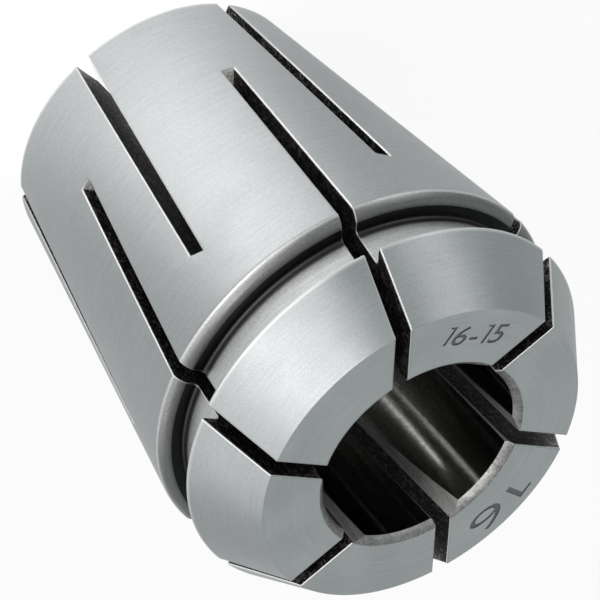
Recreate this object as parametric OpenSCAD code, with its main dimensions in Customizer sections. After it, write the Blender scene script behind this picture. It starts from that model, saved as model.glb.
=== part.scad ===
// Spring collet of the ER form, 33 mm size, for a 16 mm shank.
// One hardened steel sleeve: a long ground taper, an extractor groove, a steep nose
// cone and a straight bore, split by two sets of saw cuts that start at opposite ends
// and pass between each other. The back end stands on z = 0 and the face looks up.

/* [Body] */
// Overall length
length = 40; // [38:0.5:42]
// Largest diameter, where the long taper ends
max_d = 33; // [32.6:0.2:35]
// Half angle of the long taper, in degrees
taper_angle = 8; // [6:0.5:9]
// Length of the long taper, from the back end
taper_len = 30; // [28:0.5:31]
// Rounding of the edge round the back end
back_round = 0.3; // [0.1:0.05:0.6]

/* [Bore] */
// Diameter of the bore
bore_d = 16; // [12:0.5:17]
// Chamfer at the mouth of the bore
mouth_chamfer = 0.5; // [0.2:0.1:1]
// Chamfer at the back end of the bore
back_chamfer = 1.3; // [0.4:0.1:1.8]

/* [Groove] */
// Distance from the largest diameter to the groove's back wall
shoulder_run = 0.85; // [0.6:0.05:1.1]
// Radius of the rounded shoulder that leads down into the groove
shoulder_round = 1.2; // [1.1:0.1:2]
// Width of the extractor groove
groove_w = 3.55; // [3:0.05:4]
// Diameter at the floor of the groove
groove_d = 29.4; // [28:0.2:30.4]
// Fillet in the groove's two corners
groove_fillet = 0.35; // [0.1:0.05:0.5]

/* [Nose] */
// Half angle of the nose cone, in degrees
nose_angle = 30; // [25:1:35]
// Diameter of the lip between the groove and the nose cone
lip_d = 32.85; // [32:0.05:33]
// Rounding of the lip's edge
lip_round = 0.15; // [0.05:0.05:0.3]

/* [Slots] */
// Number of slots in each of the two sets
slots = 6; // [4:1:8]
// Width of a slot at its closed end
slot_w = 1; // [0.8:0.05:1.3]
// Width of a slot at its open end
slot_open_w = 1.2; // [0.8:0.05:1.5]
// How far the flats beside a slot reach out past the bore wall
slot_flat = 0.1; // [0:0.05:0.3]

/* [Front slots] */
// Length of a slot that starts at the face
front_slot_len = 30.4; // [26:0.2:31]
// Lean of a front slot against the axis, in degrees
front_slot_lean = 5; // [0:0.5:6]
// Distance from the axis to the middle of a front slot at the face
front_slot_offset = 2.3; // [0:0.1:2.6]

/* [Back slots] */
// Length of a slot that starts at the back end
back_slot_len = 24.7; // [20:0.2:25.4]
// Lean of a back slot against the axis, in degrees
back_slot_lean = 3.7; // [0:0.1:5]
// Distance from the axis to the middle of a back slot at the back end
back_slot_offset = -1.2; // [-1.6:0.1:0]
// Turn from each front slot to the next back slot, in degrees
back_slot_turn = 40; // [34:1:42]
// Slant across the closed end of a back slot
back_slot_slant = 0.5; // [0:0.1:0.8]

/* [Hidden] */
$fn = 96;

bore_r = bore_d / 2;
max_r = max_d / 2;
back_r = max_r - taper_len * tan(taper_angle);

groove_r = groove_d / 2;
groove_z0 = taper_len + shoulder_run;
groove_z1 = groove_z0 + groove_w;
lip_r = lip_d / 2;
lip_z = groove_z1 + lip_round;
face_r = lip_r - (length - lip_z) * tan(nose_angle);

// A rounded edge meets the surfaces beside it at this small angle, so both ends of its arc
// are crisp edges.
meet = 14;

// Centre of the shoulder's arc. It starts at the largest diameter and ends on the groove's
// back wall.
shoulder_z = groove_z0 - shoulder_round * cos(meet);
shoulder_r = max_r - sqrt(pow(shoulder_round, 2) - pow(taper_len - shoulder_z, 2));

// Centre of the lip's rounding, between the groove's front wall and the cone.
lip_round_z = groove_z1 + lip_round * cos(meet);
lip_round_r = lip_r - (lip_round_z - lip_z) * tan(nose_angle)
    - lip_round * cos(meet) / cos(nose_angle);

// Centre of the back edge's rounding, between the end face and the taper.
back_round_z = back_round * cos(meet);
back_round_r = back_r + back_round_z * tan(taper_angle)
    - back_round * cos(meet) / cos(taper_angle);

// Outer end of every slot cutter.
reach = max_r + 1;

// Half section of the unsplit sleeve: radius across, height up.
module half_section() {
    difference() {
        // All edges sharp: the taper and the cone run on to the groove's two walls.
        polygon([
            [bore_r + back_chamfer, 0],
            [back_r, 0],
            [max_r + shoulder_run * tan(taper_angle), groove_z0],
            [groove_r, groove_z0],
            [groove_r, groove_z1],
            [lip_r + (lip_z - groove_z1) * tan(nose_angle), groove_z1],
            [face_r, length],
            [bore_r + mouth_chamfer, length],
            [bore_r, length - mouth_chamfer],
            [bore_r, back_chamfer]
        ]);
        // Edge round the back end.
        edge_cut(back_round_r, back_round_z, back_round, -1, back_round_z);
        // Shoulder in front of the largest diameter.
        edge_cut(shoulder_r, shoulder_z, shoulder_round, shoulder_z, groove_z0 + 1);
        // Edge of the lip.
        edge_cut(lip_round_r, lip_round_z, lip_round, groove_z1 - 1,
            lip_round_z + lip_round * sin(nose_angle));
    }
    groove_corner(groove_z0, 1);
    groove_corner(groove_z1, -1);
}

// What a rounded edge leaves off: everything outside its arc, from height low to high.
module edge_cut(r, z, round, low, high) {
    difference() {
        translate([r + round * sin(meet) / 2, low])
            square([reach, high - low]);
        translate([r, z])
            circle(r = round);
    }
}

// Fillet between the groove's floor and one of its walls; side points into the groove.
module groove_corner(z, side) {
    away = groove_fillet * cos(meet);
    difference() {
        translate([groove_r - 1, z + (side > 0 ? -0.3 : -away)])
            square([1 + away, away + 0.3]);
        translate([groove_r + away, z + side * away])
            circle(r = groove_fillet);
    }
}

// Turned and ground sleeve before it is split.
module sleeve() {
    rotate_extrude()
        half_section();
}

// One saw cut in the plane of X and Z. It is open at z = 0 and runs down to -len.
module slot(len, slant = 0) {
    rotate([90, 0, 90])
        linear_extrude(height = reach)
            polygon([
                [-slot_open_w / 2, 1],
                [slot_open_w / 2, 1],
                [slot_open_w / 2, 0],
                [slot_w / 2, slant / 2 - len],
                [-slot_w / 2, -slant / 2 - len],
                [-slot_open_w / 2, 0]
            ]);
    // Flats that take the sharp edges off where the cut enters the bore.
    translate([0, 0, slant / 2 - len])
        linear_extrude(height = len - slant / 2 + 1)
            polygon([
                [bore_r * 0.75, bore_r * 0.25 + slot_flat + slot_w / 2],
                [bore_r * 0.75, -bore_r * 0.25 - slot_flat - slot_w / 2],
                [bore_r + slot_flat + slot_w / 2, 0]
            ]);
}

// Cuts from the face towards the back end.
module front_slots() {
    for (i = [0 : slots - 1])
        rotate([0, 0, i * 360 / slots])
            translate([0, front_slot_offset, length])
                rotate([-front_slot_lean, 0, 0])
                    slot(front_slot_len);
}

// Cuts from the back end towards the shoulder.
module back_slots() {
    for (i = [0 : slots - 1])
        rotate([0, 0, back_slot_turn + i * 360 / slots])
            translate([0, back_slot_offset, 0])
                rotate([-back_slot_lean, 0, 0])
                    mirror([0, 0, 1])
                        slot(back_slot_len, back_slot_slant);
}

module collet() {
    color("silver")
        difference() {
            sleeve();
            front_slots();
            back_slots();
        }
}

collet();
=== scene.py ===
from math import asin, atan2, cos, hypot, pi, radians, sin, sqrt, tan
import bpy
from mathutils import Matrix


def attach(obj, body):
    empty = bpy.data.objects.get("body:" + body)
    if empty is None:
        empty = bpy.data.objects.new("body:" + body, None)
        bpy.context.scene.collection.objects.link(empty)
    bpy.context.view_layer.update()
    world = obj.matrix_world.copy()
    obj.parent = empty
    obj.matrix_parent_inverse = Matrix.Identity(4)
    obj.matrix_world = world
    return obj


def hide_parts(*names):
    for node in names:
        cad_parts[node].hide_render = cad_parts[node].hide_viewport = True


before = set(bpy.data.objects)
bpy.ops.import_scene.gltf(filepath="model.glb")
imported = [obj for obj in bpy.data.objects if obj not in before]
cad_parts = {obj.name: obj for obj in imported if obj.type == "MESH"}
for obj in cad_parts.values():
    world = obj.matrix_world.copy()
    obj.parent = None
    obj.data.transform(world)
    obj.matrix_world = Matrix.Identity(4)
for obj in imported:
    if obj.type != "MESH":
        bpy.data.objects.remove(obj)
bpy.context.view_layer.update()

from types import SimpleNamespace

import bmesh
import bpy
from mathutils import Matrix, Vector


# The camera looks down on the face and along the long taper from about 31 cm away. It is
# rolled, so that the collet lies across the picture with its face towards the lower right.
CAMERA_SPOT = Vector((0.2129415, 0.1174556, 0.2149607))
PICTURE_RIGHT = Vector((0.0314952, -0.8687005, 0.4943354))
PICTURE_TOP = Vector((0.7275831, -0.3191762, -0.6072474))
TOWARDS_CAMERA = Vector((0.6852962, 0.3787955, 0.6219993))
lens = bpy.data.cameras.new("Camera")
lens.sensor_width = 36.0
lens.lens = 248.6
camera = bpy.data.objects.new("Camera", lens)
turned = Matrix((PICTURE_RIGHT, PICTURE_TOP, TOWARDS_CAMERA)).transposed()
camera.matrix_world = Matrix.Translation(CAMERA_SPOT) @ turned.to_4x4()
bpy.context.scene.collection.objects.link(camera)
bpy.context.scene.camera = camera


# The collet is one sleeve of hardened spring steel: turned, sawn open from both ends by two
# sets of six slots, then ground on the taper, the nose cone and the bore. Its section is drawn
# in millimetres as radius and height, and spun round the bore's axis.
LENGTH = 40.0
MAX_R = 16.5
TAPER = radians(8)
TAPER_END = 30.0
BACK_R = MAX_R - TAPER_END * tan(TAPER)
BACK_ROUND = 0.3
BORE_R = 8.0
BACK_CHAMFER = 1.3
MOUTH_CHAMFER = 0.5
GROOVE_Z = (30.85, 34.4)
GROOVE_R = 14.7
GROOVE_FILLET = 0.35
SHOULDER_ROUND = 1.2
LIP_R = 16.425
LIP_ROUND = 0.15
NOSE = radians(30)
SLOTS = 6
# Half the width of a slot at its open end and at its closed end.
OPEN_HALF = 0.6
END_HALF = 0.5
# How far the flats beside a slot reach out past the bore's wall.
SLOT_FLAT = 0.1

# How far each sharp edge beside a slot is broken: on the taper and nose, in the groove, on the
# face, and inside.
BREAK = 0.13
GROOVE_BREAK = 0.08
FACE_BREAK = 0.1
INNER_BREAK = 0.05
# An edge inside is broken by this much where no flat reaches it.
LEAST_BREAK = 0.03
# A broken edge is a quarter round in three steps. These are its stations, from the land to the
# slot's wall, in degrees.
STATIONS = (0, 30, 60, 90)


class Saw:
    """One set of slots, as the saw cuts them: a flat blade that passes beside the axis and
    leans against it, a little wider at the open end."""

    def __init__(self, turn, open_z, way, offset, lean, length, slant):
        self.turn = turn
        self.open_z = open_z
        self.way = way
        self.offset = offset
        self.lean = radians(lean)
        self.length = length
        self.slant = slant

    def reach(self, side):
        return self.length - side * self.slant / 2

    def depth(self, side, z):
        """How far along the slot from its open end its wall passes the height z."""
        narrowing = (OPEN_HALF - END_HALF) / self.reach(side) if side else 0.0
        return (z - self.open_z + side * OPEN_HALF * sin(self.lean)) / (
            self.way * cos(self.lean) + side * narrowing * sin(self.lean)
        )

    def half_width(self, side, z):
        return OPEN_HALF - (OPEN_HALF - END_HALF) * self.depth(side, z) / self.reach(side)

    def wall(self, side, z):
        """Distance of the slot's wall from the plane through the axis, at the height z."""
        depth = self.depth(side, z)
        across = side * self.half_width(side, z) if side else 0.0
        return self.offset + across * cos(self.lean) + self.way * depth * sin(self.lean)

    def end(self, side):
        """Height of the closed end at that wall, or at its middle for side 0."""
        return (
            self.open_z
            - side * END_HALF * sin(self.lean)
            + self.way * self.reach(side) * cos(self.lean)
        )

    def past(self, side, z):
        """How far the height z lies past the closed end, or 0 beside the open slot."""
        return max(0.0, self.way * (z - self.end(side)))


FRONT = Saw(turn=0.0, open_z=LENGTH, way=-1, offset=2.3, lean=5.0, length=30.4, slant=0.0)
BACK = Saw(turn=40.0, open_z=0.0, way=1, offset=-1.2, lean=3.7, length=24.7, slant=0.5)

# The steel's finishes: ground outside, sawn in the slots and at their closed ends, bored
# inside, turned in the groove, chamfered at the bore's ends, eased to a flat where a slot
# enters the bore, and stamped.
GROUND, SAWN, SAWN_END_PAINTED_LIGHT, BORED, TURNED, CHAMFERED, EASED, STAMPED = range(8)

# The section, counted round from the bore's back end, one row of points for each entry. A row
# has the finish of the band that leads up to it. Its edges beside a slot are broken by `edge`.
# An inner row faces the bore, a crisp one is a sharp edge round the sleeve and a worn one is
# rubbed bright, partly as wear and partly as a painted highlight. A row that follows the closed
# end of a slot names its saw, and how far past the end it lies. The rows between two edges keep
# the faces of the long bands short.
section = []


def add(r, z, finish, edge=BREAK, inner=False, crisp=False, worn=False, saw=None, past=0.0):
    section.append(
        SimpleNamespace(
            r=r,
            z=z,
            finish=finish,
            edge=edge,
            inner=inner,
            crisp=crisp,
            worn=worn,
            saw=saw,
            past=past,
        )
    )


def arc(r, z, radius, start, end, steps, finish, edge, crisp=False, worn=False):
    for i in range(steps + 1):
        a = radians(start + (end - start) * i / steps)
        at_end = i in (0, steps)
        add(
            r + radius * cos(a),
            z + radius * sin(a),
            finish,
            edge,
            crisp=crisp and at_end,
            worn=worn,
        )


def on_taper(z):
    return BACK_R + z * tan(TAPER)


def end_rows(saw, edge):
    """Rows of the taper round a slot's closed end, in the order of rising height."""
    rows = [edge * (1 - sin(radians(a))) for a in STATIONS]
    if saw.way > 0:
        rows.reverse()
    for past in rows:
        z = saw.end(0) + saw.way * past
        add(on_taper(z), z, GROUND, edge, saw=saw, past=past)


# Back end: flat ring and rounded outer edge. A row a little inside each edge of a flat ring
# keeps the ring's shading flat.
RING_MARGIN = 0.25
back_r = on_taper(BACK_ROUND) - BACK_ROUND / cos(TAPER)
add(BORE_R + BACK_CHAMFER, 0.0, CHAMFERED, INNER_BREAK, inner=True)
add(BORE_R + BACK_CHAMFER + RING_MARGIN, 0.0, GROUND, FACE_BREAK)
add(back_r - RING_MARGIN, 0.0, GROUND, FACE_BREAK)
arc(back_r, BACK_ROUND, BACK_ROUND, -90, -8, 6, GROUND, FACE_BREAK, worn=True)
# Long taper.
for z in (0.5, 1.5, 3.0, 5.0, 7.0, 8.8):
    add(on_taper(z), z, GROUND)
end_rows(FRONT, BREAK)
for z in (10.4, 12.0, 14.0, 16.0, 18.0, 20.0, 22.0, 23.8):
    add(on_taper(z), z, GROUND)
end_rows(BACK, BREAK)
for z in (25.7, 27.0, 28.5, 29.6, 29.94):
    add(on_taper(z), z, GROUND)
# Rounded shoulder, down to the groove's back wall.
shoulder_z = GROOVE_Z[0] - SHOULDER_ROUND * cos(radians(14))
shoulder_r = MAX_R - sqrt(SHOULDER_ROUND**2 - (TAPER_END - shoulder_z) ** 2)
arc(shoulder_r, shoulder_z, SHOULDER_ROUND, 18, 76, 9, TURNED, GROOVE_BREAK, crisp=True)
# Groove with its two fillets.
corner_r = GROOVE_R + GROOVE_FILLET
low_z = GROOVE_Z[0] + GROOVE_FILLET
high_z = GROOVE_Z[1] - GROOVE_FILLET
add(corner_r + 0.2, GROOVE_Z[0], TURNED, GROOVE_BREAK)
arc(corner_r, low_z, GROOVE_FILLET, -90, -180, 6, TURNED, GROOVE_BREAK)
for z in (31.5, 32.6, 33.75):
    add(GROOVE_R, z, TURNED, GROOVE_BREAK)
arc(corner_r, high_z, GROOVE_FILLET, 180, 90, 6, TURNED, GROOVE_BREAK)
lip_round_r = LIP_R - LIP_ROUND / cos(NOSE)
add(corner_r + 0.25, GROOVE_Z[1], TURNED, GROOVE_BREAK)
add(lip_round_r - 0.2, GROOVE_Z[1], TURNED, GROOVE_BREAK)
# Lip, nose cone and face.
lip_z = GROOVE_Z[1] + LIP_ROUND
arc(lip_round_r, lip_z, LIP_ROUND, -90, 30, 6, GROUND, BREAK, worn=True)


def on_nose(z):
    return LIP_R - (z - lip_z) * tan(NOSE)


for z in (34.85, 36.0, 37.2, 38.4, 39.5):
    add(on_nose(z), z, GROUND)
add(on_nose(LENGTH), LENGTH, GROUND, FACE_BREAK, crisp=True)
for r in (12.8, 11.6, 10.4, 9.3, 8.75):
    add(r, LENGTH, GROUND, FACE_BREAK)
# Mouth of the bore, its chamfer's edges just broken, the bore, and the chamfer at its back end.
mouth_r = BORE_R + MOUTH_CHAMFER
add(mouth_r + 0.06, LENGTH, GROUND, FACE_BREAK)
for r, z in (
    (mouth_r - 0.04, LENGTH - 0.04),
    (BORE_R + 0.05, LENGTH - MOUTH_CHAMFER + 0.05),
    (BORE_R, LENGTH - MOUTH_CHAMFER - 0.06),
):
    add(r, z, CHAMFERED, INNER_BREAK, inner=True)
for z in (39.0, 36.8, 34.1, 31.2, 28.1, 25.8):
    add(BORE_R, z, BORED, INNER_BREAK, inner=True)
add(BORE_R, BACK.end(0) + 0.1, BORED, INNER_BREAK, inner=True, saw=BACK, past=0.1)
add(BORE_R, BACK.end(0), BORED, INNER_BREAK, inner=True, saw=BACK)
for z in (23.6, 20.3, 17.2, 13.7, 11.4):
    add(BORE_R, z, BORED, INNER_BREAK, inner=True)
add(BORE_R, FRONT.end(0), BORED, INNER_BREAK, inner=True, saw=FRONT)
add(BORE_R, FRONT.end(0) - 0.1, BORED, INNER_BREAK, inner=True, saw=FRONT, past=0.1)
for z in (8.0, 6.0, 4.0, 2.2, BACK_CHAMFER):
    add(BORE_R, z, BORED, INNER_BREAK, inner=True)
half = BACK_CHAMFER / 2
add(BORE_R + half, half, CHAMFERED, INNER_BREAK, inner=True)

# Outward direction at each point of the section, long enough to offset both lines beside it.
ROWS = len(section)
outward = []
for i in range(ROWS):
    last, here, following = section[i - 1], section[i], section[(i + 1) % ROWS]
    before = Vector((here.z - last.z, last.r - here.r)).normalized()
    after = Vector((following.z - here.z, here.r - following.r)).normalized()
    outward.append((before + after) / (1 + before.dot(after)))

# The columns of one sixth of the sleeve. A column on a slot is that slot, its side and a
# station. A column on a land is its place between the slots beside it.
around_slot = [(-1, a) for a in STATIONS] + [(0, 90)] + [(1, a) for a in reversed(STATIONS)]
LAND_STEPS = {FRONT: 14, BACK: 9}
columns = []
first_column = {}
for saw, steps in LAND_STEPS.items():
    first_column[saw] = len(columns)
    columns += [(saw, side, a) for side, a in around_slot]
    columns += [(saw, "land", i / steps) for i in range(1, steps)]
COLUMNS = len(columns) * SLOTS


def beside_slot(saw, side, a, i):
    """Radius, turn and height of a point on row i, on or beside a slot of that set."""
    row = section[i]
    r, z, edge, past = row.r, row.z, row.edge, row.past
    if row.saw is saw:
        z = saw.end(side) + saw.way * past
        r = r if row.inner else on_taper(z)
    else:
        past = saw.past(side, z)
    if side == 0:
        low = beside_slot(saw, -1, 90, i)
        high = beside_slot(saw, 1, 90, i)
        return tuple((low[n] + high[n]) / 2 for n in range(3))
    wall = saw.wall(side, z)
    share = sin(radians(a))
    if row.inner:
        # The bore's edge is taken off by a flat at 45 degrees, if the wall reaches it.
        flat_x = BORE_R + SLOT_FLAT + END_HALF - saw.half_width(side, z)
        b = side * wall - flat_x
        c = wall**2 + flat_x**2 - r**2
        if c > 0:
            run = max(LEAST_BREAK, (-b - sqrt(b * b - 2 * c)) / 2)
            land_u = wall + side * run
            steps = STATIONS.index(a) / (len(STATIONS) - 1)
            if past > 0:
                turn = (1 - steps) * asin(land_u / r) + steps * asin(wall / r)
                return r, turn, z
            land_x = sqrt(r * r - land_u**2)
            x = land_x + (flat_x - land_x) * steps
            u = land_u + (wall - land_u) * steps
            return hypot(x, u), atan2(u, x), z
    aside = edge * (1 - share)
    away = hypot(aside, past)
    sunk = edge - sqrt(edge**2 - (edge - away) ** 2) if away < edge else 0.0
    r -= sunk * outward[i][0]
    z -= sunk * outward[i][1]
    return r, asin((saw.wall(side, z) + side * aside) / r), z


def place(i, column):
    """Where the point of row i and that column of the spun section belongs."""
    sector, column = divmod(column, len(columns))
    saw, side, a = columns[column]
    if side != "land":
        r, turn, z = beside_slot(saw, side, a, i)
        turn += radians(saw.turn)
    else:
        r, z = section[i].r, section[i].z
        after, gap = (BACK, 0) if saw is FRONT else (FRONT, 2 * pi / SLOTS)
        start = beside_slot(saw, 1, 0, i)[1] + radians(saw.turn)
        stop = beside_slot(after, -1, 0, i)[1] + radians(after.turn) + gap
        turn = start + (stop - start) * a
    turn += sector * 2 * pi / SLOTS
    return Vector((r * cos(turn), r * sin(turn), z))


sleeve = bmesh.new()
row_of = sleeve.verts.layers.int.new("row")
worn_highlight_at = sleeve.verts.layers.float.new("worn")
ring = []
for i, row in enumerate(section):
    vertex = sleeve.verts.new((row.r, 0.0, row.z))
    vertex[row_of] = i
    ring.append(vertex)
for i in range(ROWS):
    sleeve.edges.new((ring[i - 1], ring[i]))
bmesh.ops.spin(
    sleeve,
    geom=sleeve.verts[:] + sleeve.edges[:],
    cent=(0, 0, 0),
    axis=(0, 0, 1),
    angle=2 * pi,
    steps=COLUMNS,
    use_merge=True,
)
column_of = {}
for vertex in sleeve.verts:
    turn = atan2(vertex.co.y, vertex.co.x) / (2 * pi)
    column_of[vertex] = round(turn * COLUMNS) % COLUMNS
for vertex in sleeve.verts:
    vertex.co = place(vertex[row_of], column_of[vertex])

# Saw the slots: the faces between a slot's two walls go, and its walls and closed end are
# filled in from the edges that are left.
FIRST_WALL = len(STATIONS) - 1
NO_DISTANCE = 1e-9


def closed_end(saw, inner):
    for i, row in enumerate(section):
        if row.saw is saw and row.inner == inner and row.past < NO_DISTANCE:
            return i


def rows_of(saw):
    """The rows that a slot runs through, from its closed end outside to the one inside."""
    start, stop = closed_end(saw, False), closed_end(saw, True)
    if saw is FRONT:
        return list(range(start, stop + 1))
    return list(range(start, -1, -1)) + list(range(ROWS - 1, stop - 1, -1))


at = {(vertex[row_of], column_of[vertex]): vertex for vertex in sleeve.verts}
for saw in (FRONT, BACK):
    rows = rows_of(saw)
    for sector in range(SLOTS):
        low = sector * len(columns) + first_column[saw] + FIRST_WALL
        across = [low, low + 1, low + 2]
        cut = set()
        for i, j in zip(rows, rows[1:]):
            for p, q in zip(across, across[1:]):
                corners = {at[i, p], at[i, q], at[j, p], at[j, q]}
                cut |= {f for f in at[i, p].link_faces if set(f.verts) == corners}
        bmesh.ops.delete(sleeve, geom=list(cut), context="FACES")
        end_edges = [
            sleeve.edges.get((at[i, p], at[i, q]))
            for i in (rows[0], rows[-1])
            for p, q in zip(across, across[1:])
        ]
        for column in (low, low + 2):
            path = [at[i, column] for i in rows]
            closing = bmesh.ops.contextual_create(sleeve, geom=[path[0], path[-1]])["edges"]
            around = [sleeve.edges.get(pair) for pair in zip(path, path[1:])] + closing
            bmesh.ops.edgeloop_fill(sleeve, edges=around, mat_nr=SAWN, use_smooth=False)
            end_edges += closing
        bmesh.ops.edgeloop_fill(sleeve, edges=end_edges, mat_nr=SAWN_END_PAINTED_LIGHT, use_smooth=False)
bmesh.ops.recalc_face_normals(sleeve, faces=sleeve.faces[:])

# Each face gets the finish of its band, or is a flat where a slot enters the bore.
inner_rows = {i for i, row in enumerate(section) if row.inner}
beside = {
    saw: set(range(first, first + len(around_slot))) for saw, first in first_column.items()
}
sawn_rows = {saw: set(rows_of(saw)) for saw in (FRONT, BACK)}
for face in sleeve.faces:
    if face.material_index in (SAWN, SAWN_END_PAINTED_LIGHT):
        continue
    face.smooth = True
    here = {vertex[row_of] for vertex in face.verts}
    end = 0 if here == {0, ROWS - 1} else max(here)
    face.material_index = section[end].finish
    places = {column_of[vertex] % len(columns) for vertex in face.verts}
    for saw in (FRONT, BACK):
        if here <= inner_rows & sawn_rows[saw] and places <= beside[saw]:
            face.material_index = EASED

# The sleeve shades smoothly except at its real edges, and its rubbed edges are marked for wear
# and a painted highlight.
SHARP = radians(35)
land_ends = {
    saw: {first, first + len(around_slot) - 1} for saw, first in first_column.items()
}
for edge in sleeve.edges:
    a, b = edge.verts
    i, j = a[row_of], b[row_of]
    place_a, place_b = column_of[a] % len(columns), column_of[b] % len(columns)
    finishes = {face.material_index for face in edge.link_faces}
    if len(finishes) > 1 or edge.calc_face_angle() > SHARP:
        edge.smooth = False
    if i == j and section[i].crisp:
        edge.smooth = False
    for saw in (FRONT, BACK):
        if place_a == place_b and place_a in land_ends[saw] and {i, j} <= sawn_rows[saw]:
            edge.smooth = False
for vertex in sleeve.verts:
    i, place_v = vertex[row_of], column_of[vertex] % len(columns)
    rubbed_highlight = section[i].worn or section[i].crisp and section[i].z <= TAPER_END
    for saw in (FRONT, BACK):
        rubbed_highlight |= i in sawn_rows[saw] and place_v in beside[saw] - land_ends[saw]
    vertex[worn_highlight_at] = 1.0 if rubbed_highlight else 0.0
mesh = bpy.data.meshes.new("collet_steel")
sleeve.to_mesh(mesh)
sleeve.free()
collet = bpy.data.objects.new("collet_steel", mesh)
bpy.context.scene.collection.objects.link(collet)


# Numbers stamped in the face: the bore, and the range of shanks that it closes on. A cutter
# goes as deep into the face as it stands out of it.
STAMP_DEPTH = 0.06
STAMP_GAP = 0.11
NUMBERS = (
    dict(text="1", height=1.9, width=1.4, r=11.65, turn=-130.7, up=-133, weight=0.06, flag=0.4),
    dict(text="6", height=2.2, width=2.85, r=11.45, turn=-147.3, up=-147.3, weight=-0.012),
    dict(
        text="16-15",
        height=1.7,
        width=5.4,
        r=11.0,
        turn=-19.9,
        up=-19.9,
        weight=0.006,
        slant=0.3,
    ),
)


def written(text, weight):
    """A solid character of the plain built-in font, 1 thick."""
    curve = bpy.data.curves.new("stamp", "FONT")
    curve.body = text
    curve.offset = weight
    curve.extrude = 0.5
    curve.resolution_u = 5
    letters = bpy.data.objects.new("stamp", curve)
    bpy.context.scene.collection.objects.link(letters)
    bpy.context.view_layer.update()
    made = bpy.data.meshes.new_from_object(letters)
    bpy.data.objects.remove(letters)
    return made


def flagged_one(weight, flag):
    """A solid 1 as high as the font's, because the font's own is a bare stem: its flag runs
    out to the left from the top, and droops a little."""
    high = 0.7
    stem = 0.035 + weight
    thick = 0.05 + weight / 3
    tip = high - 0.12 * flag
    outline = bmesh.new()
    base = outline.faces.new(
        outline.verts.new((x, y, -0.5))
        for x, y in (
            (-stem, 0.0),
            (stem, 0.0),
            (stem, high),
            (-stem - flag, tip),
            (-stem - flag, tip - thick),
            (-stem, high - 1.4 * thick),
        )
    )
    top = bmesh.ops.extrude_face_region(outline, geom=[base], use_keep_orig=True)["geom"]
    moved = [part for part in top if isinstance(part, bmesh.types.BMVert)]
    bmesh.ops.translate(outline, verts=moved, vec=(0, 0, 1))
    made = bpy.data.meshes.new("stamp")
    outline.to_mesh(made)
    outline.free()
    return made


def stamp(text, height, width, r, turn, up, weight, slant=0.0, flag=0.12):
    """Cutter for a number in the face: its middle is given as radius and turn, and its top
    points to the turn `up`."""
    cutter = bmesh.new()
    pen = 0.0
    for character in text:
        flat = flagged_one(weight, flag) if character == "1" else written(character, weight)
        low = min(vertex.co.x for vertex in flat.vertices)
        high = max(vertex.co.x for vertex in flat.vertices)
        flat.transform(Matrix.Translation((pen - low, 0, 0)))
        pen += high - low + STAMP_GAP
        cutter.from_mesh(flat)
    bmesh.ops.remove_doubles(cutter, verts=cutter.verts[:], dist=1e-5)
    for axis, size in ((0, width), (1, height), (2, 2 * STAMP_DEPTH)):
        low = min(vertex.co[axis] for vertex in cutter.verts)
        high = max(vertex.co[axis] for vertex in cutter.verts)
        for vertex in cutter.verts:
            vertex.co[axis] = (vertex.co[axis] - (low + high) / 2) * size / (high - low)
    turn = radians(turn)
    cutter.transform(
        Matrix.Translation((r * cos(turn), r * sin(turn), LENGTH))
        @ Matrix.Rotation(radians(up - 90), 4, "Z")
        @ Matrix.Shear("XZ", 4, (slant, 0.0))
    )
    bmesh.ops.recalc_face_normals(cutter, faces=cutter.faces[:])
    for face in cutter.faces:
        face.material_index = STAMPED
        face.smooth = False
    made = bpy.data.meshes.new("stamp")
    cutter.to_mesh(made)
    cutter.free()
    return made


FINISHES = {
    GROUND: "ground_steel",
    SAWN: "sawn_steel_painted_shade",
    SAWN_END_PAINTED_LIGHT: "sawn_end_painted_light",
    BORED: "bored_steel",
    TURNED: "turned_steel_painted_shade",
    CHAMFERED: "chamfered_steel",
    EASED: "eased_steel",
    STAMPED: "stamped_steel",
}
for name in FINISHES.values():
    mesh.materials.append(bpy.data.materials.new(name))
for number in NUMBERS:
    cutter_mesh = stamp(**number)
    for name in FINISHES.values():
        cutter_mesh.materials.append(bpy.data.materials[name])
    cutter = bpy.data.objects.new("stamp", cutter_mesh)
    bpy.context.scene.collection.objects.link(cutter)
    cut = collet.modifiers.new("stamp", "BOOLEAN")
    cut.operation = "DIFFERENCE"
    cut.solver = "MANIFOLD"
    cut.object = cutter
    bpy.context.view_layer.update()
    graph = bpy.context.evaluated_depsgraph_get()
    stamped = bpy.data.meshes.new_from_object(collet.evaluated_get(graph))
    collet.modifiers.clear()
    collet.data = stamped
    bpy.data.objects.remove(cutter)
mesh = collet.data
mesh.name = "collet_steel"
MILLIMETRE = 0.001
mesh.transform(Matrix.Scale(MILLIMETRE, 4))
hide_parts("collet")
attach(collet, "root")


def put(tree, kind, inputs=(), **settings):
    """Adds a shader node. Each input is a value, or the socket that feeds it."""
    made = tree.nodes.new("ShaderNode" + kind)
    for name, value in settings.items():
        setattr(made, name, value)
    for name, value in dict(inputs).items():
        if isinstance(value, bpy.types.NodeSocket):
            tree.links.new(value, made.inputs[name])
        else:
            made.inputs[name].default_value = value
    return made


def new_group(name, inputs, outputs):
    tree = bpy.data.node_groups.new(name, "ShaderNodeTree")
    for title, kind in inputs:
        tree.interface.new_socket(title, in_out="INPUT", socket_type=kind)
    for title in outputs:
        tree.interface.new_socket(title, in_out="OUTPUT", socket_type="NodeSocketFloat")
    return tree, tree.nodes.new("NodeGroupInput").outputs, tree.nodes.new("NodeGroupOutput")


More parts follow.
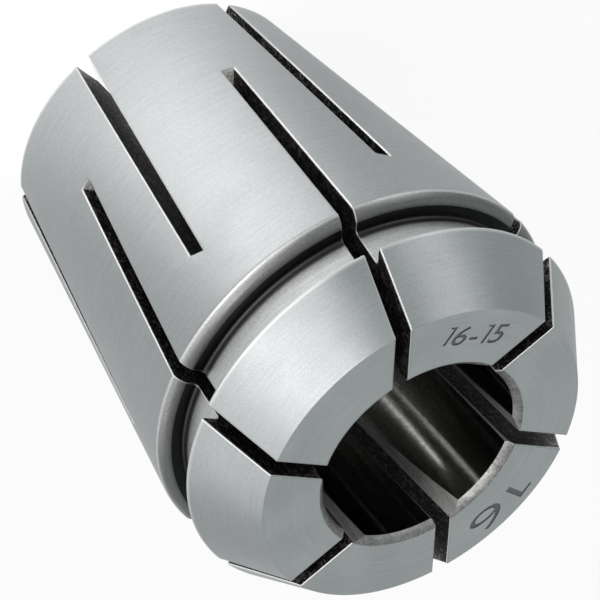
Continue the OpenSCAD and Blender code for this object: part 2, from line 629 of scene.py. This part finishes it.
# Fine lines that a tool or a wheel leaves. They run round the axis, at any place on the
# section, where Stretch is small across and large along it, and along the bore the other way.
lay_tree, given, result = new_group("tool_lines", [("Stretch", "NodeSocketVector")], ["Line"])
spot = put(lay_tree, "TexCoord").outputs["Object"]
parts = put(lay_tree, "SeparateXYZ", {0: spot})
flat_spot = put(lay_tree, "CombineXYZ", {"X": parts.outputs["X"], "Y": parts.outputs["Y"]})
radius = put(lay_tree, "VectorMath", {0: flat_spot.outputs[0]}, operation="LENGTH")
run = put(
    lay_tree, "Math", {0: parts.outputs["Z"], 1: radius.outputs["Value"]}, operation="SUBTRACT"
)
drawn = put(
    lay_tree,
    "CombineXYZ",
    {"X": parts.outputs["X"], "Y": parts.outputs["Y"], "Z": run.outputs[0]},
)
drawn = put(
    lay_tree, "VectorMath", {0: drawn.outputs[0], 1: given["Stretch"]}, operation="MULTIPLY"
)
lines = put(
    lay_tree, "TexNoise", {"Vector": drawn.outputs[0], "Scale": 1.0, "Detail": 3.0}
)
lay_tree.links.new(lines.outputs[0], result.inputs["Line"])

# Sandy grain of the metal, with the soft clouds that handling leaves.
grain_tree, given, result = new_group(
    "metal_grain", [("Scale", "NodeSocketFloat")], ["Grain", "Cloud"]
)
spot = put(grain_tree, "TexCoord").outputs["Object"]
sand = put(
    grain_tree, "TexNoise", {"Vector": spot, "Scale": given["Scale"], "Detail": 2.0}
)
grain_tree.links.new(sand.outputs[0], result.inputs["Grain"])
wide = put(grain_tree, "Math", {0: given["Scale"], 1: 40.0}, operation="DIVIDE")
cloud = put(
    grain_tree, "TexNoise", {"Vector": spot, "Scale": wide.outputs[0], "Detail": 3.0}
)
grain_tree.links.new(cloud.outputs[0], result.inputs["Cloud"])

# Bright specks of swarf and nicks: the few peaks of a fine noise.
speck_tree, given, result = new_group(
    "specks", [("Scale", "NodeSocketFloat"), ("Least", "NodeSocketFloat")], ["Speck"]
)
spot = put(speck_tree, "TexCoord").outputs["Object"]
dust = put(
    speck_tree,
    "TexNoise",
    {"Vector": spot, "Scale": given["Scale"], "Detail": 4.0, "Distortion": 1.5},
)
most = put(speck_tree, "Math", {0: given["Least"], 1: 0.06}, operation="ADD")
peaks = put(
    speck_tree,
    "MapRange",
    {"Value": dust.outputs[0], "From Min": given["Least"], "From Max": most.outputs[0]},
)
speck_tree.links.new(peaks.outputs[0], result.inputs["Speck"])


def use(tree, name, inputs):
    made = put(tree, "Group", node_tree=bpy.data.node_groups[name])
    for title, value in inputs.items():
        made.inputs[title].default_value = value
    return made


def blend(tree, share, a, b):
    """Colour a, or b where the share is 1."""
    mixed = put(tree, "Mix", {"Factor": share}, data_type="RGBA")
    for socket, value in ((mixed.inputs[6], a), (mixed.inputs[7], b)):
        if isinstance(value, bpy.types.NodeSocket):
            tree.links.new(value, socket)
        else:
            socket.default_value = (*value, 1)
    return mixed.outputs[2]


def ranged(tree, value, low, high, to_low=0.0, to_high=1.0):
    limits = {"From Min": low, "From Max": high, "To Min": to_low, "To Max": to_high}
    return put(tree, "MapRange", {"Value": value, **limits}).outputs[0]


def steel(name, dark, light, stretch, scale, line_share, gloss, relief):
    """A steel finish. Its tone runs from dark to light with the tool's lines and the grain,
    its roughness over the range in gloss, and its relief is in metres. Noise keeps near 0.5,
    so its middle is stretched over the whole range."""
    material = bpy.data.materials[name]
    material.use_nodes = True
    tree = material.node_tree
    shader = tree.nodes["Principled BSDF"]
    shader.inputs["Metallic"].default_value = 1.0
    line = use(tree, "tool_lines", {"Stretch": stretch}).outputs["Line"]
    grain = use(tree, "metal_grain", {"Scale": scale})
    fine = put(
        tree, "Mix", {"Factor": line_share, 2: grain.outputs["Grain"], 3: line}
    ).outputs[0]
    tone = ranged(tree, fine, 0.3, 0.7)
    cloud = ranged(tree, grain.outputs["Cloud"], 0.35, 0.65)
    colour = blend(tree, tone, dark, light)
    roughness = put(
        tree, "Mix", {"Factor": cloud, 2: gloss[0], 3: gloss[1]}
    ).outputs[0]
    tree.links.new(roughness, shader.inputs["Roughness"])
    raised = put(
        tree, "Bump", {"Height": fine, "Strength": 1.0, "Distance": relief}
    )
    tree.links.new(raised.outputs[0], shader.inputs["Normal"])
    tree.links.new(colour, shader.inputs["Base Color"])
    return tree, shader, colour


def paint_worn_highlight(tree, shader, colour):
    """Brightens the worn edges, partly as wear and partly as a painted highlight along them."""
    worn = put(tree, "Attribute", attribute_name="worn").outputs["Fac"]
    worn = ranged(tree, worn, 0.2, 1.0, to_high=0.5)
    bright = blend(tree, worn, colour, (0.78, 0.79, 0.79))
    tree.links.new(bright, shader.inputs["Base Color"])


AROUND = (250.0, 250.0, 9000.0)
ALONG = (2600.0, 2600.0, 45.0)
SAW_MARKS = (3000.0, 3000.0, 300.0)

# Ground outside: an even satin with a fine sandy grain.
tree, shader, colour = steel(
    "ground_steel",
    dark=(0.302, 0.321, 0.329),
    light=(0.402, 0.42, 0.425),
    stretch=AROUND,
    scale=9000.0,
    line_share=0.35,
    gloss=(0.38, 0.44),
    relief=1.2e-6,
)
paint_worn_highlight(tree, shader, colour)

# Turned shoulder and groove, with painted shade: darker down the shoulder and nearly black at
# the groove's wall that faces the nose.
tree, shader, colour = steel(
    "turned_steel_painted_shade",
    dark=(0.4, 0.415, 0.42),
    light=(0.64, 0.65, 0.65),
    stretch=(250.0, 250.0, 5000.0),
    scale=7000.0,
    line_share=0.4,
    gloss=(0.36, 0.46),
    relief=2.5e-6,
)
spot = put(tree, "TexCoord").outputs["Object"]
height = put(tree, "SeparateXYZ", {0: spot}).outputs["Z"]
PAINTED_SHADE_BAND = (30.0, 31.6)
height = ranged(tree, height, PAINTED_SHADE_BAND[0] * MILLIMETRE, PAINTED_SHADE_BAND[1] * MILLIMETRE)
ramp = put(tree, "ValToRGB", {"Fac": height})
stops = ramp.color_ramp.elements
stops.remove(stops[1])
# The share of the colour that the painted shade leaves, at heights in millimetres. The brighter
# stops at the shoulder's edge and at the fillet are painted highlight lines. The painted shade
# is a little warm.
for height, grey in (
    (30.0, 0.7),
    (30.06, 1.0),
    (30.18, 0.95),
    (30.26, 0.51),
    (30.4, 0.43),
    (30.6, 0.45),
    (30.75, 0.48),
    (30.83, 0.36),
    (30.851, 0.035),
    (30.86, 0.02),
    (30.93, 0.02),
    (30.98, 0.08),
    (31.08, 0.1),
    (31.2, 0.11),
    (31.38, 0.17),
    (31.5, 0.5),
    (31.6, 1.0),
):
    up = (height - PAINTED_SHADE_BAND[0]) / (PAINTED_SHADE_BAND[1] - PAINTED_SHADE_BAND[0])
    stop = stops.new(up) if up > 0 else stops[0]
    warm = 1.0 if grey > 0.5 else 0.985
    stop.color = (grey, grey * warm, grey * warm**2, 1)
# The painted shade and its highlight lines darken the turned steel's colour by height.
painted_shade = put(tree, "Mix", {"Factor": 1.0}, data_type="RGBA", blend_type="MULTIPLY")
tree.links.new(colour, painted_shade.inputs[6])
tree.links.new(ramp.outputs["Color"], painted_shade.inputs[7])
paint_worn_highlight(tree, shader, painted_shade.outputs[2])

# Sawn slots: dull and mottled, with a few bright specks. Their near-black colour is painted
# shade of the narrow slots.
tree, shader, colour = steel(
    "sawn_steel_painted_shade",
    dark=(0.004, 0.004, 0.004),
    light=(0.06, 0.06, 0.057),
    stretch=SAW_MARKS,
    scale=2600.0,
    line_share=0.35,
    gloss=(0.45, 0.6),
    relief=1.5e-5,
)
for scale, least, grey in (
    (1500.0, 0.55, (0.17, 0.17, 0.16)),
    (4200.0, 0.61, (0.5, 0.49, 0.45)),
):
    speck = use(tree, "specks", {"Scale": scale, "Least": least}).outputs["Speck"]
    colour = blend(tree, speck, colour, grey)
tree.links.new(colour, shader.inputs["Base Color"])

# Closed ends of the slots: the same cut, rough, and painted light for the light that reaches
# into the ends of the slots.
steel(
    "sawn_end_painted_light",
    dark=(0.4, 0.4, 0.385),
    light=(0.95, 0.94, 0.91),
    stretch=SAW_MARKS,
    scale=4000.0,
    line_share=0.3,
    gloss=(0.7, 0.9),
    relief=3e-5,
)

# Bore: dark and smooth enough to mirror the slots as streaks.
steel(
    "bored_steel",
    dark=(0.15, 0.15, 0.143),
    light=(0.4, 0.4, 0.383),
    stretch=(1100.0, 1100.0, 25.0),
    scale=3000.0,
    line_share=0.45,
    gloss=(0.1, 0.17),
    relief=1e-6,
)

# Chamfers at the bore's ends: grey, with coarse grain.
steel(
    "chamfered_steel",
    dark=(0.15, 0.15, 0.147),
    light=(0.5, 0.495, 0.485),
    stretch=ALONG,
    scale=7500.0,
    line_share=0.45,
    gloss=(0.4, 0.5),
    relief=5e-6,
)

# Flats beside the slots: scraped bare.
steel(
    "eased_steel",
    dark=(0.36, 0.365, 0.36),
    light=(0.72, 0.72, 0.705),
    stretch=ALONG,
    scale=6000.0,
    line_share=0.6,
    gloss=(0.42, 0.55),
    relief=3e-6,
)

# Stamped numbers: dull grey.
steel(
    "stamped_steel",
    dark=(0.14, 0.147, 0.15),
    light=(0.21, 0.217, 0.22),
    stretch=AROUND,
    scale=6000.0,
    line_share=0.3,
    gloss=(0.5, 0.6),
    relief=3e-6,
)


# The table is plain white paper, which keeps the collet's soft shadow. Part of its white shows
# in every straight look at it and every reflection.
table = bmesh.new()
bmesh.ops.create_grid(table, x_segments=1, y_segments=1, size=3.0)
table_mesh = bpy.data.meshes.new("table")
table.to_mesh(table_mesh)
table.free()
floor = bpy.data.objects.new("table", table_mesh)
bpy.context.scene.collection.objects.link(floor)
paper = bpy.data.materials.new("white_paper")
paper.use_nodes = True
tree = paper.node_tree
shader = tree.nodes["Principled BSDF"]
shader.inputs["Base Color"].default_value = (0.9, 0.9, 0.9, 1)
shader.inputs["Roughness"].default_value = 0.9
shader.inputs["Specular IOR Level"].default_value = 0.0
STRAIGHT_SHARE = 0.9
MIRRORED_SHARE = 0.42
rays = put(tree, "LightPath").outputs
mirrored = put(
    tree,
    "Math",
    {0: rays["Is Glossy Ray"], 1: rays["Is Transmission Ray"]},
    operation="MAXIMUM",
)
mirrored = put(
    tree, "Math", {0: mirrored.outputs[0], 1: MIRRORED_SHARE}, operation="MULTIPLY"
)
share = put(
    tree,
    "Math",
    {0: rays["Is Camera Ray"], 1: STRAIGHT_SHARE, 2: mirrored.outputs[0]},
    operation="MULTIPLY_ADD",
)
white = put(tree, "Emission", {"Color": (1, 1, 1, 1), "Strength": 1.0})
surface = put(
    tree,
    "MixShader",
    {0: share.outputs[0], 1: shader.outputs[0], 2: white.outputs[0]},
)
tree.links.new(surface.outputs[0], tree.nodes["Material Output"].inputs["Surface"])
table_mesh.materials.append(paper)


# Studio light: a pale room, a little cool, seven warmer soft boxes around it, and a soft
# spot from beside the camera on the paper that the long taper reflects.
BOX_DISTANCE = 0.6
BOX_AIM = Vector((0, 0, 0.012))
world = bpy.data.worlds.new("Room")
world.use_nodes = True
world.node_tree.nodes["Background"].inputs["Color"].default_value = (0.93, 1.0, 1.0, 1)
world.node_tree.nodes["Background"].inputs["Strength"].default_value = 0.44
bpy.context.scene.world = world


def hang(lamp_data, spot, aim):
    lamp = bpy.data.objects.new(lamp_data.name, lamp_data)
    facing = (spot - aim).to_track_quat("Z", "Y")
    lamp.matrix_world = Matrix.Translation(spot) @ facing.to_matrix().to_4x4()
    lamp.visible_camera = False
    bpy.context.scene.collection.objects.link(lamp)


def around(turn, lift, away):
    turn, lift = radians(turn), radians(lift)
    return away * Vector((cos(turn) * cos(lift), sin(turn) * cos(lift), sin(lift)))


for name, turn, lift, size, watts in (
    ("Front", 30, 20, 0.3, 0.75),
    ("Front_right", 60, 20, 0.3, 0.815),
    ("Right", 90, 20, 0.3, 0.36),
    ("Right_back", 120, 20, 0.3, 0.41),
    ("Left", 320, 18, 0.3, 0.4),
    ("Back", 210, 45, 0.3, 0.2),
    ("Top_front", 55, 50, 0.2, 0.5),
):
    box_light = bpy.data.lights.new(name, "AREA")
    box_light.shape = "SQUARE"
    box_light.size = size
    box_light.energy = watts
    box_light.color = (1.0, 0.965, 0.955)
    hang(box_light, around(turn, lift, BOX_DISTANCE), BOX_AIM)
pool = bpy.data.lights.new("Paper_spot", "SPOT")
pool.spot_size = radians(12)
pool.spot_blend = 1.0
pool.shadow_soft_size = 0.01
pool.energy = 10.6
pool.color = (1.0, 0.96, 0.945)
pool_middle = around(22, 0, 0.036)
hang(pool, pool_middle + around(25, 55, 0.25), pool_middle)
bpy.context.scene.view_settings.view_transform = "Standard"
